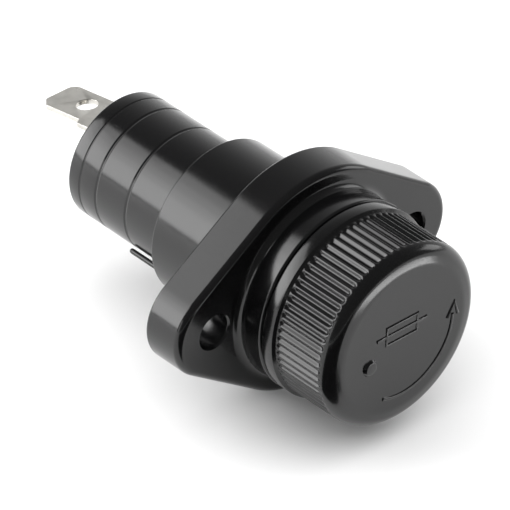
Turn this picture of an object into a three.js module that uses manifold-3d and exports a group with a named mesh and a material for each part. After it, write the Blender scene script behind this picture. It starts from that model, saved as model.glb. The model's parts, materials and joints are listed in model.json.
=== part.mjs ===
// Panel-mounting cartridge fuse holder, 10 x 38 mm class.
// Millimetres. +Z up, +X along the flange, -Y out of the panel towards the user.
// Origin: on the barrel's axis, in the plane where the flange seats on the panel.
import * as THREE from "three";
import { mergeVertices } from "three/addons/utils/BufferGeometryUtils.js";
import Module from "manifold-3d";

const wasm = await Module();
wasm.setup();

// ---- driving dimensions -------------------------------------------------------------------

// holder body
const FLANGE_T = 6.8;            // flange thickness
const HOLE_PITCH = 38.1;         // between the two screw holes
const HOLE_R = 2.6;              // clearance for an M5 screw
const FLANGE_MID_R = 17.9;       // the flange outline: one large disc and two small ones
const FLANGE_END_R = 7.5;
const FLANGE_END_X = 18.5;
const MAIN_R = 12.4;             // main barrel
const MAIN_END = 13.9;           // its step, behind the panel plane
const REAR_R = 10.0;             // rear barrel
const REAR_END = 34.3;           // rear face
const GROOVES = [22.0, 28.3, 31.8]; // fine rings around the rear barrel
const COLLAR_END = -11.7;        // front of the collar
const FRONT_BORE_R = 10.2;
const FRONT_BORE_END = 12.0;
const REAR_BORE_R = 7.9;
const REAR_BORE_END = 31.9;

// bayonet
const SHELL_R = 9.9;
const SHELL_BORE = 9.35;
const LUG_Y = -6.0;              // plane of the lugs
const LUG_R = 1.0;
const LUG_SLOT = 1.35;           // half width of the slots they run in
const TURN = 60;                 // degrees between entry and lock

// terminals
const TAB_W = 6.3;
const TAB_T = 0.8;
const TAB_HOLE_R = 1.65;
const TAB_TILT = 10;             // degrees that the rear tab hangs down
const SIDE_ANGLE = 315;          // position of the side terminal around the barrel
const FINGER_ANGLE = 225;        // position of the locating finger beside the rear barrel
const FINGER_END = 23.0;

// cap
const CAP_REAR = -12.0;
const CAP_FRONT = -25.1;
const CAP_R = 14.5;              // over the knurl
const SKIRT_R = 15.0;            // plain skirt behind the knurl
const KNURL_REAR = -14.4;
const KNURL_FRONT = -23.15;
const KNURL_DEPTH = 0.5;
const RIBS = 72;
const RIM_R = 1.95;              // rounding between the side and the face
const STEM_R = 8.4;
const STEM_END = 3.0;
const STEM_BORE = 6.2;
const STEM_FLOOR = -21.6;

// fuse, 10.3 x 38.1 mm
const FUSE_R = 5.15;
const FUSE_FRONT = -19.6;
const FUSE_LENGTH = 38.1;
const FUSE_REAR = FUSE_FRONT + FUSE_LENGTH;
const FUSE_CAP_L = 9.5;

// rear contact and its spring
const CONTACT_FRONT = FUSE_REAR + 0.4;
const SPRING_R = 4.6;
const SPRING_WIRE = 0.5;         // radius of the wire
const SPRING_TURNS = 6;

const SEG = 40;                  // facets around the large round surfaces

// ---- materials ----------------------------------------------------------------------------

const paint = (color, roughness, metalness) => new THREE.MeshStandardMaterial({ color, roughness, metalness });
const THERMOSET = paint(0x1b1b1c, 0.28, 0);
const THERMOSET_CAP = paint(0x1d1d1e, 0.25, 0);
const TIN = paint(0xb9b6ae, 0.35, 1);
const BRASS = paint(0xc9a24a, 0.32, 1);
const NICKEL = paint(0xc4c2bc, 0.22, 1);
const STEEL = paint(0x9fa0a2, 0.3, 1);
const RUBBER = paint(0x151515, 0.8, 0);
const CERAMIC = paint(0xe9e6df, 0.45, 0);
const SILVER = paint(0xdadada, 0.25, 1);
const SOLDER = paint(0xa8a9ab, 0.4, 1);

// ---- solids -------------------------------------------------------------------------------

const deg = Math.PI / 180;

// A closed geometry as a manifold solid, faces turned outwards.
function solid(geometry) {
  const g = geometry.index ? geometry.toNonIndexed() : geometry.clone();
  g.deleteAttribute("normal");
  g.deleteAttribute("uv");
  const merged = mergeVertices(g, 1e-4);
  const vertProperties = new Float32Array(merged.attributes.position.array);
  const all = merged.index.array;
  const kept = [];
  for (let i = 0; i < all.length; i += 3) {
    const [a, b, c] = [all[i], all[i + 1], all[i + 2]];
    if (a !== b && b !== c && c !== a) kept.push(a, b, c);
  }
  let volume = 0;
  const p = (i) => new THREE.Vector3().fromArray(vertProperties, 3 * i);
  for (let i = 0; i < kept.length; i += 3) volume += p(kept[i]).dot(p(kept[i + 1]).cross(p(kept[i + 2])));
  if (volume < 0) for (let i = 0; i < kept.length; i += 3) [kept[i], kept[i + 1]] = [kept[i + 1], kept[i]];
  return new wasm.Manifold(new wasm.Mesh({ numProp: 3, vertProperties, triVerts: new Uint32Array(kept) }));
}

// A manifold solid back as a three.js geometry.
function geometryOf(manifold) {
  const mesh = manifold.getMesh();
  const g = new THREE.BufferGeometry();
  g.setAttribute("position", new THREE.BufferAttribute(new Float32Array(mesh.vertProperties), 3));
  g.setIndex(new THREE.BufferAttribute(new Uint32Array(mesh.triVerts), 1));
  g.computeVertexNormals();
  return g;
}

const union = (...parts) => parts.reduce((a, b) => a.add(b));
const cut = (body, ...tools) => tools.reduce((a, b) => a.subtract(b), body);

// Turned about the Y axis from a profile of [radius, y] pairs. A profile off the axis closes on itself.
function turned(profile, segments = SEG) {
  const pts = profile.map(([r, y]) => new THREE.Vector2(r, y));
  if (profile[0][0] > 0) pts.push(pts[0].clone());
  return solid(new THREE.LatheGeometry(pts, segments));
}

const ring = (r0, r1, y0, y1, segments = SEG) => turned([[r0, y0], [r1, y0], [r1, y1], [r0, y1]], segments);
const disc = (r, y0, y1, segments = SEG) => turned([[0, y0], [r, y0], [r, y1], [0, y1]], segments);

// A shape drawn in X and Z, extruded along +Y from y0 to y1.
function slab(shape, y0, y1, options = {}) {
  const g = new THREE.ExtrudeGeometry(shape, {
    depth: y1 - y0, bevelEnabled: false, curveSegments: 16, steps: 1, ...options,
  });
  g.rotateX(Math.PI / 2);        // shape (x, z) lies in X and Z, depth runs along -Y
  g.translate(0, y1, 0);
  return solid(g);
}

const box = (x, y, z, cx, cy, cz) => solid(new THREE.BoxGeometry(x, y, z).translate(cx, cy, cz));

// Turns a solid about the barrel's axis, from the +X direction to an angle measured towards +Z.
const around = (manifold, degrees) => manifold.rotate([0, -degrees, 0]);

// A pin that points along +X, from x0 to x1.
function pin(r, x0, x1, y, segments = 24) {
  const g = new THREE.CylinderGeometry(r, r, x1 - x0, segments);
  return solid(g.rotateZ(Math.PI / 2).translate((x0 + x1) / 2, y, 0));
}

// A sector of a ring between two angles, extruded along Y.
function sector(r0, r1, from, to, y0, y1) {
  const s = new THREE.Shape();
  const n = Math.max(2, Math.ceil(Math.abs(to - from) / 7.5));
  const at = (r, i) => [r * Math.cos((from + (to - from) * i / n) * deg), r * Math.sin((from + (to - from) * i / n) * deg)];
  s.moveTo(...at(r1, 0));
  for (let i = 1; i <= n; i++) s.lineTo(...at(r1, i));
  for (let i = n; i >= 0; i--) s.lineTo(...at(r0, i));
  s.closePath();
  return slab(s, y0, y1);
}

const object = new THREE.Group();
function add(name, manifold, material) {
  const mesh = new THREE.Mesh(geometryOf(manifold), material);
  mesh.name = name;
  object.add(mesh);
}

// ---- holder body --------------------------------------------------------------------------

// Outline of the flange: the tangent lines that join the middle disc to the two end discs.
function flangeShape(inset) {
  const mid = FLANGE_MID_R - inset, end = FLANGE_END_R - inset;
  const a = Math.acos((FLANGE_MID_R - FLANGE_END_R) / FLANGE_END_X);
  const s = new THREE.Shape();
  s.absarc(FLANGE_END_X, 0, end, -a, a);
  s.absarc(0, 0, mid, a, Math.PI - a);
  s.absarc(-FLANGE_END_X, 0, end, Math.PI - a, Math.PI + a);
  s.absarc(0, 0, mid, Math.PI + a, 2 * Math.PI - a);
  return s;
}

const EDGE = 0.7;                // rounding of the flange's edges
const flange = slab(flangeShape(EDGE), -FLANGE_T + EDGE, -EDGE, {
  bevelEnabled: true, bevelThickness: EDGE, bevelSize: EDGE, bevelSegments: 2, curveSegments: 9,
});

const grooves = GROOVES.flatMap((y) => [[REAR_R, y - 0.2], [REAR_R - 0.12, y], [REAR_R, y + 0.2]]);
const barrel = turned([
  [0, COLLAR_END], [14.8, COLLAR_END], [15.15, COLLAR_END + 0.35], [14.5, -7.6], [15.1, -6.6],
  [13.0, -1], [12.8, 0.2], [MAIN_R, 0.8], [MAIN_R - 0.05, MAIN_END - 0.3], [MAIN_R - 0.35, MAIN_END],
  [REAR_R + 0.05, MAIN_END], ...grooves, [REAR_R - 0.05, REAR_END - 0.5], [REAR_R - 0.55, REAR_END], [0, REAR_END],
]);
const bore = turned([
  [0, COLLAR_END - 1], [FRONT_BORE_R + 0.5, COLLAR_END - 1], [FRONT_BORE_R + 0.5, COLLAR_END],
  [FRONT_BORE_R, COLLAR_END + 0.5], [FRONT_BORE_R, FRONT_BORE_END], [REAR_BORE_R, FRONT_BORE_END],
  [REAR_BORE_R, REAR_BORE_END], [0, REAR_BORE_END],
]);
const screwHole = turned([
  [0, -FLANGE_T - 1], [HOLE_R + 0.3, -FLANGE_T - 1], [HOLE_R + 0.3, -FLANGE_T], [HOLE_R, -FLANGE_T + 0.3],
  [HOLE_R, 1], [0, 1],
], 24);
// Thin locating finger that leaves the step, beside the rear barrel, with a rounded end.
const finger = around(union(
  box(0.8, FINGER_END - 1.1 - 12.5, 2.2, 10.75, (FINGER_END - 1.1 + 12.5) / 2, 0),
  pin(1.1, 10.35, 11.15, FINGER_END - 1.1, 16),
), FINGER_ANGLE);
// Slot for the side terminal: open into the front bore, and out through the step beside the rear barrel.
const sideSlot = around(union(
  box(1.5, 17.3, TAB_W + 0.6, 10.65, 3.35, 0),
  box(1.1, 4, TAB_W + 0.6, 10.85, 13.5, 0),
  pin(2.2, 9.5, 12.6, -3, 16),
), SIDE_ANGLE);

add("holder_body", cut(
  union(flange, barrel, finger), bore,
  screwHole.translate([HOLE_PITCH / 2, 0, 0]), screwHole.translate([-HOLE_PITCH / 2, 0, 0]),
  sideSlot, disc(1.9, REAR_BORE_END - 1, REAR_END + 1, 16),
), THERMOSET);

// ---- front contact and side terminal -------------------------------------------------------

// Each bayonet slot runs in from the front edge, then around by the locking angle.
const SHELL_FRONT = -9.4, SHELL_REAR = 11.6;
const slotAngle = Math.asin(LUG_SLOT / SHELL_BORE) / deg;
const shellSlots = [0, 180].flatMap((a) => [
  sector(8, 11, a - slotAngle, a + slotAngle, SHELL_FRONT - 1, LUG_Y + LUG_SLOT),
  sector(8, 11, a - TURN - slotAngle, a, LUG_Y - LUG_SLOT, LUG_Y + LUG_SLOT),
]);
add("contact_shell", cut(
  ring(SHELL_BORE, SHELL_R, SHELL_FRONT, SHELL_REAR), ...shellSlots,
  around(pin(1.25, 8, 11, -3, 16), SIDE_ANGLE),
), BRASS);

// Flat strip in the slot; its rear end is the tab beside the rear barrel.
const STRIP_D = 10.35, STRIP_END = 20.6;
const strip = new THREE.Shape();
strip.moveTo(-5, -TAB_W / 2);
strip.lineTo(STRIP_END - 1, -TAB_W / 2);
strip.lineTo(STRIP_END, -TAB_W / 2 + 1);
strip.lineTo(STRIP_END, TAB_W / 2 - 1);
strip.lineTo(STRIP_END - 1, TAB_W / 2);
strip.lineTo(-5, TAB_W / 2);
strip.closePath();
const stripPlate = new THREE.ExtrudeGeometry(strip, { depth: TAB_T, bevelEnabled: false });
stripPlate.applyMatrix4(new THREE.Matrix4().makeBasis(
  new THREE.Vector3(0, 1, 0), new THREE.Vector3(0, 0, 1), new THREE.Vector3(1, 0, 0),
)).translate(STRIP_D, 0, 0);
add("side_terminal", around(cut(
  solid(stripPlate), pin(1.25, 10, 12, -3, 16), pin(1.3, 10, 12, 17, 20),
), SIDE_ANGLE), TIN);

add("side_rivet", around(union(
  pin(0.9, 9.45, 11.9, -3, 16), pin(1.7, STRIP_D + TAB_T + 0.3, 12.0, -3, 16),
), SIDE_ANGLE), NICKEL);

// ---- rear terminal and its rivet -----------------------------------------------------------

// Foot flat on the rear face, then a tab that points rearwards and a little down.
// One edge of the tab is stepped in, the other runs straight.
const FOOT_Y = REAR_END + 0.3;
const FOOT_TOP = 5.4, TAB_LENGTH = 14.0, SHOULDER = 5.2;
const foot = new THREE.Shape();
foot.absarc(0, 0, 3.9, Math.PI, 2 * Math.PI);
foot.lineTo(3.9, FOOT_TOP - 0.4);
foot.lineTo(-3.9, FOOT_TOP - 0.4);
foot.closePath();
const tab = new THREE.Shape();
const TAB_NEAR = 3.1, TAB_FAR = 3.8, BASE_NEAR = 4.1;
tab.moveTo(-BASE_NEAR, 0);
for (const [x, y] of [
  [-BASE_NEAR, SHOULDER - 0.65], [-TAB_NEAR, SHOULDER], [-TAB_NEAR, TAB_LENGTH - 1.3], [-TAB_NEAR + 1.2, TAB_LENGTH],
  [TAB_FAR - 1.3, TAB_LENGTH], [TAB_FAR, TAB_LENGTH - 1.1], [TAB_FAR, 0],
]) tab.lineTo(x, y);
tab.closePath();
const hole = new THREE.Path();
hole.absarc(0.7, 7.7, TAB_HOLE_R, 0, 2 * Math.PI);
tab.holes.push(hole);
const tabPlate = new THREE.ExtrudeGeometry(tab, { depth: TAB_T, bevelEnabled: false, curveSegments: 10 });
tabPlate.translate(0, 0, -TAB_T).rotateX(-TAB_TILT * deg).translate(0, FOOT_Y, FOOT_TOP);
const terminal = union(slab(foot, FOOT_Y, FOOT_Y + TAB_T), solid(tabPlate));
add("rear_terminal", cut(
  terminal, disc(1.9, FOOT_Y - 1, FOOT_Y + 2, 16), box(12, 2, 20, 0, FOOT_Y - 1, 0),
), TIN);

add("rear_rivet", turned([
  [0, 29.9], [1.6, 29.9], [2.5, 30.3], [2.6, 30.9], [1.55, 30.9], [1.55, FOOT_Y + TAB_T + 0.3],
  [3.0, FOOT_Y + TAB_T + 0.3], [2.8, FOOT_Y + 1.7], [1.7, FOOT_Y + 2.2], [0, FOOT_Y + 2.3],
], 24), NICKEL);

add("spring_seat", ring(1.9, 6.2, 31.2, 31.6, 24), STEEL);

// ---- rear contact and its spring -----------------------------------------------------------

const contact = turned([
  [0, CONTACT_FRONT], [2.6, CONTACT_FRONT], [3.0, CONTACT_FRONT + 0.4], [6.9, CONTACT_FRONT + 0.9],
  [7.2, CONTACT_FRONT + 1.3], [7.2, CONTACT_FRONT + 4.2], [6.7, CONTACT_FRONT + 4.2], [6.7, CONTACT_FRONT + 1.9],
  [2.4, CONTACT_FRONT + 1.9], [2.2, CONTACT_FRONT + 5.4], [0, CONTACT_FRONT + 5.4],
], 32);
add("rear_contact", contact, BRASS);

// Coil with a closed turn at each end.
class Coil extends THREE.Curve {
  getPoint(t, target = new THREE.Vector3()) {
    const turn = t * SPRING_TURNS;
    const closed = 1, pitch = this.rise / (SPRING_TURNS - 2 * closed);
    const end = 2.4 * SPRING_WIRE;
    let y;
    if (turn < closed) y = end * turn;
    else if (turn > SPRING_TURNS - closed) y = end + this.rise + end * (turn - SPRING_TURNS + closed);
    else y = end + pitch * (turn - closed);
    const a = 2 * Math.PI * turn;
    return target.set(SPRING_R * Math.cos(a), y, SPRING_R * Math.sin(a));
  }
}
const SPRING_FRONT = CONTACT_FRONT + 1.9 + 0.3, SPRING_REAR = 31.2 - 0.3;
const coil = new Coil();
coil.rise = SPRING_REAR - SPRING_FRONT - 2 * SPRING_WIRE - 4.8 * SPRING_WIRE;
const wire = new THREE.Shape();
wire.absarc(0, 0, SPRING_WIRE, 0, 2 * Math.PI);
const spring = new THREE.ExtrudeGeometry(wire, { steps: SPRING_TURNS * 14, extrudePath: coil, curveSegments: 3 });
spring.translate(0, SPRING_FRONT + SPRING_WIRE, 0);
add("contact_spring", solid(spring), STEEL);

// ---- cap ----------------------------------------------------------------------------------

const rim = [0, 22.5, 45, 67.5, 90].map((a) => [
  CAP_R - RIM_R + RIM_R * Math.cos(a * deg), CAP_FRONT + RIM_R - RIM_R * Math.sin(a * deg),
]);
const head = turned([
  [0, CAP_FRONT], ...rim.reverse(), [CAP_R, KNURL_REAR], [SKIRT_R, KNURL_REAR + 0.5],
  [SKIRT_R, CAP_REAR - 0.3], [SKIRT_R - 0.3, CAP_REAR], [0, CAP_REAR],
], RIBS);
const stem = disc(STEM_R, CAP_REAR - 1, STEM_END, 30);
const stemBore = turned([
  [0, STEM_END + 1], [STEM_BORE, STEM_END + 1], [STEM_BORE, STEM_FLOOR], [1.35, STEM_FLOOR], [1.35, -23.5], [0, -23.5],
], 36);
// The valleys between the ribs, cut as one toothed ring.
const teeth = new THREE.Shape();
teeth.absarc(0, 0, CAP_R + 1, 0, 2 * Math.PI);
const star = new THREE.Path();
for (let i = 0; i < RIBS; i++) {
  const a = (i * 360) / RIBS;
  for (const [offset, r] of [[0.9, CAP_R + 0.1], [1.7, CAP_R - KNURL_DEPTH], [3.3, CAP_R - KNURL_DEPTH], [4.1, CAP_R + 0.1]]) {
    const p = [r * Math.cos((a + offset) * deg), r * Math.sin((a + offset) * deg)];
    if (i === 0 && offset === 0.9) star.moveTo(...p); else star.lineTo(...p);
  }
}
star.closePath();
teeth.holes.push(star);

// Marks raised on the face: a turn arrow, the sign for a fuse and a round pip.
const MARK = 0.2;
const markTop = CAP_FRONT - MARK, markRoot = CAP_FRONT + 0.3;
const bar = (w, h, x, z) => box(w, markRoot - markTop, h, x, (markRoot + markTop) / 2, z);
const arrow = new THREE.Shape();
arrow.moveTo(10.8, 0);
arrow.lineTo(8.2, 0);
arrow.lineTo(9.7, 2.4);
arrow.closePath();
const pip = turned([
  [0, CAP_FRONT - 0.45], [0.6, CAP_FRONT - 0.45], [1.05, CAP_FRONT - 0.3], [1.3, CAP_FRONT], [1.3, markRoot], [0, markRoot],
], 20);
const marks = [
  sector(9.15, 9.75, -112, 1, markTop, markRoot),
  slab(arrow, markTop, markRoot),
  bar(6.4, 0.5, -0.5, 3.45), bar(6.4, 0.5, -0.5, 0.55), bar(0.5, 3.4, -3.45, 2), bar(0.5, 3.4, 2.45, 2),
  bar(9.6, 0.5, -0.5, 2),
  pip.translate([-6.5, 0, -1.9]),
];
add("cap", cut(
  union(head, stem, ...marks), stemBore, slab(teeth, KNURL_FRONT, KNURL_REAR + 0.1),
), THERMOSET_CAP);

// Sleeve on the stem, and the two pins through it that run in the shell's slots.
const pinHole = pin(LUG_R + 0.3, 7, 10, LUG_Y, 16);
add("cap_sleeve", cut(ring(8.7, 9.02, -9.4, 2.0), pinHole, around(pinHole, 180)), BRASS);
const lug = pin(LUG_R, 8.7, 9.72, LUG_Y, 16);
add("bayonet_pin_right", lug, STEEL);
add("bayonet_pin_left", around(lug, 180), STEEL);

const oRing = [];
for (let i = 0; i < 8; i++) {
  oRing.push([9.25 + 0.52 * Math.cos(45 * i * deg), -10.75 + 0.52 * Math.sin(45 * i * deg)]);
}
add("cap_ring", turned(oRing, 28), RUBBER);

// ---- fuse clip ----------------------------------------------------------------------------

const CLIP_BACK = STEM_FLOOR + 0.3;
const clip = turned([
  [1.35, CLIP_BACK], [5.5, CLIP_BACK], [5.88, CLIP_BACK + 0.4], [5.88, -12.4], [5.8, -11.6], [5.55, -11.6],
  [5.48, -12.4], [5.48, CLIP_BACK + 0.5], [1.35, CLIP_BACK + 0.5],
], 32);
const fingerGaps = [0, 45, 90, 135].map((a) => around(box(14, 7.4, 0.9, 0, -15.2, 0), a));
add("fuse_clip", cut(clip, ...fingerGaps), NICKEL);

add("clip_rivet", turned([
  [0, -23.2], [1.0, -23.2], [1.0, CLIP_BACK + 0.8], [2.3, CLIP_BACK + 0.8], [2.1, CLIP_BACK + 1.25],
  [1.2, CLIP_BACK + 1.4], [0, CLIP_BACK + 1.4],
], 16), NICKEL);

// ---- cartridge fuse -----------------------------------------------------------------------

// End cap from its open edge to its end face.
function fuseCap(open, end) {
  const s = Math.sign(end - open);
  return turned([
    [0, end], [FUSE_R - 0.35, end], [FUSE_R, end - 0.5 * s], [FUSE_R, open], [4.82, open],
    [4.82, end - 0.45 * s], [0, end - 0.45 * s],
  ], 32);
}
add("fuse_tube", ring(3.2, 4.5, FUSE_FRONT + 0.8, FUSE_REAR - 0.8, 32), CERAMIC);
add("fuse_cap_front", fuseCap(FUSE_FRONT + FUSE_CAP_L, FUSE_FRONT), NICKEL);
add("fuse_cap_rear", fuseCap(FUSE_REAR - FUSE_CAP_L, FUSE_REAR), NICKEL);

const neck = (y) => box(0.62, 1.2, 1, 1.2, y, 0);
const element = box(2.4, FUSE_LENGTH - 4.4, 0.3, 0, (FUSE_FRONT + FUSE_REAR) / 2, 0);
const necks = [-9, -3, 3, 9].flatMap((d) => [neck(d - 0.55), neck(d - 0.55).translate([-2.4, 0, 0])]);
add("fuse_element", cut(element, ...necks), SILVER);
add("solder_front", disc(2.7, FUSE_FRONT + 0.8, FUSE_FRONT + 1.9, 20), SOLDER);
add("solder_rear", disc(2.7, FUSE_REAR - 1.9, FUSE_REAR - 0.8, 20), SOLDER);

export default object;
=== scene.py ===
# %% [markdown]
# # A panel fuse holder, piece by piece
# The object is a holder for one 10 x 38 mm cartridge fuse: a glossy black moulding that is bolted to a panel
# by its flange, a knurled cap that turns and lifts out with the fuse, and two plated tabs behind the panel.
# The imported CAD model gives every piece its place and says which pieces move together. We load it first, and
# build finer pieces on top of it, all in one frame: +Y points rearwards, +X along the flange, +Z up.

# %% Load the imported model
import json
import math

import bmesh
import bpy
from mathutils import Matrix, Vector

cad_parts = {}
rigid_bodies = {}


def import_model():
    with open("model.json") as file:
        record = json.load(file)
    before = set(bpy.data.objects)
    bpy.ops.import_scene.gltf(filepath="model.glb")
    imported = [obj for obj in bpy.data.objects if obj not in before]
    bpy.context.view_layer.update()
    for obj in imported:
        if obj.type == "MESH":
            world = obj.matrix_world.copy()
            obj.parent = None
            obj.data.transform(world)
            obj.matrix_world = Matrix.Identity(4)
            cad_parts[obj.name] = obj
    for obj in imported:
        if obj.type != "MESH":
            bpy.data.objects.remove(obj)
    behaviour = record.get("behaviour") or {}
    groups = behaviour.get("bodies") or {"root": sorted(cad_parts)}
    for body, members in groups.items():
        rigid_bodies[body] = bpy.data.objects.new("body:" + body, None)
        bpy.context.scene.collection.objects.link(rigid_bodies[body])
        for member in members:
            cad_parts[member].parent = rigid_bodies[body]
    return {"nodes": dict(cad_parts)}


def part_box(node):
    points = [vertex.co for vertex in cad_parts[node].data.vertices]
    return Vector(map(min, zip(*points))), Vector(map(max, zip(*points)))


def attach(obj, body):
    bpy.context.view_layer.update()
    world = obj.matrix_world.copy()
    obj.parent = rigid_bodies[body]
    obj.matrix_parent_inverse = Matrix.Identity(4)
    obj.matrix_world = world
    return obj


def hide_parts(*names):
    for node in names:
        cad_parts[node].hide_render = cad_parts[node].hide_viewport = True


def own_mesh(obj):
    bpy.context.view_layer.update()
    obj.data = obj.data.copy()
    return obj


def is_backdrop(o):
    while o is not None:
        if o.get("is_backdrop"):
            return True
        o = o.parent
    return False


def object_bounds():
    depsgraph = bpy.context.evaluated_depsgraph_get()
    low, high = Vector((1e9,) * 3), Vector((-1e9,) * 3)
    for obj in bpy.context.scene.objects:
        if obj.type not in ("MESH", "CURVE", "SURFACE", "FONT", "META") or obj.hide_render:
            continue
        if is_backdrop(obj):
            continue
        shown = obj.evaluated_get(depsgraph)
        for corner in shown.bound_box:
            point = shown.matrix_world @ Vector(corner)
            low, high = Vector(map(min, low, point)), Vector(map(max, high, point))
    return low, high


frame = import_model()
cad_box = [list(corner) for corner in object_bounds()]
MM = 0.001


def in_mm(corners):
    """Corners or sizes in millimetres, rounded for printing."""
    return [[round(c / MM, 2) for c in corner] for corner in corners]


print("CAD nodes:", len(frame["nodes"]), "box in mm:", in_mm(cad_box))

# %% [markdown]
# ## The camera
# Something this small is best shown from far away with a long lens, so that parallel edges stay nearly
# parallel. We stand in front of the cap, to its left and above it. The three columns of the matrix are the
# camera's right, up and backward directions, which leaves no doubt about how the view is turned.

# %% Camera
LENS_MM, SENSOR_MM = 468.7, 36
STAND = (-0.5359, -0.5438, 0.5499)
RIGHT, UP, BACK = (0.7319, -0.6805, 0.0336), (0.3780, 0.4466, 0.8110), (-0.5669, -0.5809, 0.5841)
camera_data = bpy.data.cameras.new("camera")
camera_data.lens, camera_data.sensor_width = LENS_MM, SENSOR_MM
camera_data.clip_start, camera_data.clip_end = 0.05, 20
camera = bpy.data.objects.new("camera", camera_data)
bpy.context.scene.collection.objects.link(camera)
camera.matrix_world = Matrix.Translation(STAND) @ Matrix((RIGHT, UP, BACK)).transposed().to_4x4()
bpy.context.scene.camera = camera
bpy.context.scene.view_settings.view_transform = "Standard"
print("camera stands", round(camera.location.length, 3), "m from the panel plane's centre")

# %% [markdown]
# ## Sums in node trees
# A procedural finish is a small calculation at every point of the surface. Writing it as an expression reads
# better than a page of wires, so `Value` wraps the output of a node and turns +, -, * and / into Math nodes.
# `Graph.add` makes a node of any type: first its settings, then what goes into its sockets, each found by its
# name or its number. `Graph.split` takes a vector apart.

# %% Values and graphs
class Value:
    """A number in a node tree. Expressions on it add Math nodes."""

    def __init__(self, graph, socket):
        self.graph, self.socket = graph, socket

    def math(self, operation, *others, clamp=False):
        settings = {"operation": operation, "use_clamp": clamp}
        return self.graph.add("ShaderNodeMath", settings, dict(enumerate((self, *others))))

    def flipped(self, operation, other):
        return self.graph.add("ShaderNodeMath", {"operation": operation}, {0: other, 1: self})

    def __add__(self, other): return self.math("ADD", other)
    def __radd__(self, other): return self.flipped("ADD", other)
    def __sub__(self, other): return self.math("SUBTRACT", other)
    def __rsub__(self, other): return self.flipped("SUBTRACT", other)
    def __mul__(self, other): return self.math("MULTIPLY", other)
    def __rmul__(self, other): return self.flipped("MULTIPLY", other)
    def __truediv__(self, other): return self.math("DIVIDE", other)
    def __rtruediv__(self, other): return self.flipped("DIVIDE", other)
    def clamped(self): return self.math("ADD", 0.0, clamp=True)


class Graph:
    """A node tree of a material, the world or a Geometry Nodes group."""

    def __init__(self, tree):
        self.tree = tree

    def plug(self, value, socket):
        if isinstance(value, Value):
            self.tree.links.new(value.socket, socket)
        else:
            socket.default_value = value

    def add(self, kind, settings=None, sockets=None, out=0):
        node = self.tree.nodes.new(kind)
        for name, setting in (settings or {}).items():
            setattr(node, name, setting)
        for name, value in (sockets or {}).items():
            self.plug(value, node.inputs[name])
        return Value(self, node.outputs[out])

    def split(self, vector):
        node = self.add("ShaderNodeSeparateXYZ", sockets={0: vector}).socket.node
        return [Value(self, socket) for socket in node.outputs]


print("a Value takes + - * / on either side; a Graph adds the nodes")

# %% [markdown]
# ## The finishes
# Every surface of the real object has some life in it: a moulding shows faint flow marks and hairlines,
# plating is cloudy, brass tarnishes. A finish here is one Principled shader whose colour, roughness and bump
# come from noise at a real scale. Patterns read Object coordinates, which are metres, so a noise scale of
# 1000 makes marks of about a millimetre.

# %% Tools for finishes
def finish(name, constants):
    """A material with its graph, its shader and the point on the surface, in metres."""
    material = bpy.data.materials.new(name)
    material.use_nodes = True
    graph = Graph(material.node_tree)
    shader = material.node_tree.nodes["Principled BSDF"]
    for socket, value in constants.items():
        shader.inputs[socket].default_value = value
    point = graph.add("ShaderNodeTexCoord", out=3)
    return material, graph, shader, point


def noise(graph, point, per_metre, detail=3.0, stretch=(1, 1, 1)):
    """Cloudy noise from 0 to 1; stretch squeezes it along an axis."""
    placed = graph.add("ShaderNodeMapping", sockets={"Vector": point, "Scale": stretch})
    return graph.add("ShaderNodeTexNoise", sockets={
        "Vector": placed, "Scale": per_metre, "Detail": detail,
    })


def blend(graph, share, first, second):
    """Mixes two colours, plain ones or worked-out ones. The colour sockets of the node are 6, 7 and 2."""
    first, second = (c if isinstance(c, Value) else (*c, 1.0) for c in (first, second))
    return graph.add("ShaderNodeMix", {"data_type": "RGBA"}, {0: share, 6: first, 7: second}, out=2)


def raised(graph, shader, height, metres):
    """Bump from a height between 0 and 1 that stands for this many metres."""
    bump = graph.add("ShaderNodeBump", sockets={"Strength": 1.0, "Distance": metres, "Height": height})
    graph.plug(bump, shader.inputs["Normal"])


# %% [markdown]
# The holder and the cap are moulded in black thermoset against a polished steel tool. The skin is a mirror
# that is slightly uneven: cloudy where the resin flowed, with a few hairlines from handling. Both mouldings
# share one recipe; the cap, which fingers touch, has more hairlines, and its black is a touch deeper.

# %% Black thermoset
def thermoset(name, black, gloss, hairlines):
    material, graph, shader, point = finish(name, {"IOR": 1.5})
    flow = noise(graph, point, 160, 4.0, (1, 0.35, 1))
    grain = noise(graph, point, 4200, 2.0)
    lines = noise(graph, point, 900, 3.0, (6, 0.25, 6))
    scratch = ((lines - 0.62) * 9.0).clamped() * hairlines
    specks = ((noise(graph, point, 2600, 1.0) - 0.72) * 14.0).clamped()
    paler = [c * 1.7 for c in black]
    colour = blend(graph, (flow * 0.8 + specks * 0.4).clamped(), black, paler)
    graph.plug(colour, shader.inputs["Base Color"])
    graph.plug(gloss + flow * 0.06 + scratch * 0.12 + specks * 0.08, shader.inputs["Roughness"])
    raised(graph, shader, flow * 0.5 + grain * 0.035 - scratch * 0.08, 0.00004)
    return material


HOLDER_BLACK = thermoset("holder_thermoset", (0.0022, 0.0022, 0.0023), 0.13, 0.5)
CAP_BLACK = thermoset("cap_thermoset", (0.0020, 0.0020, 0.0021), 0.13, 0.8)
print("thermoset:", HOLDER_BLACK.name, CAP_BLACK.name)

# %% [markdown]
# Metals differ in hue, in how cloudy the plating is and in the direction of the marks that the tool left. One
# recipe covers them all: `streak` says along which axis the fine lines run, and `cloud` how uneven the shine
# is. Tarnish darkens the colour and dulls the shine in the same places, as it does on brass.

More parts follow.
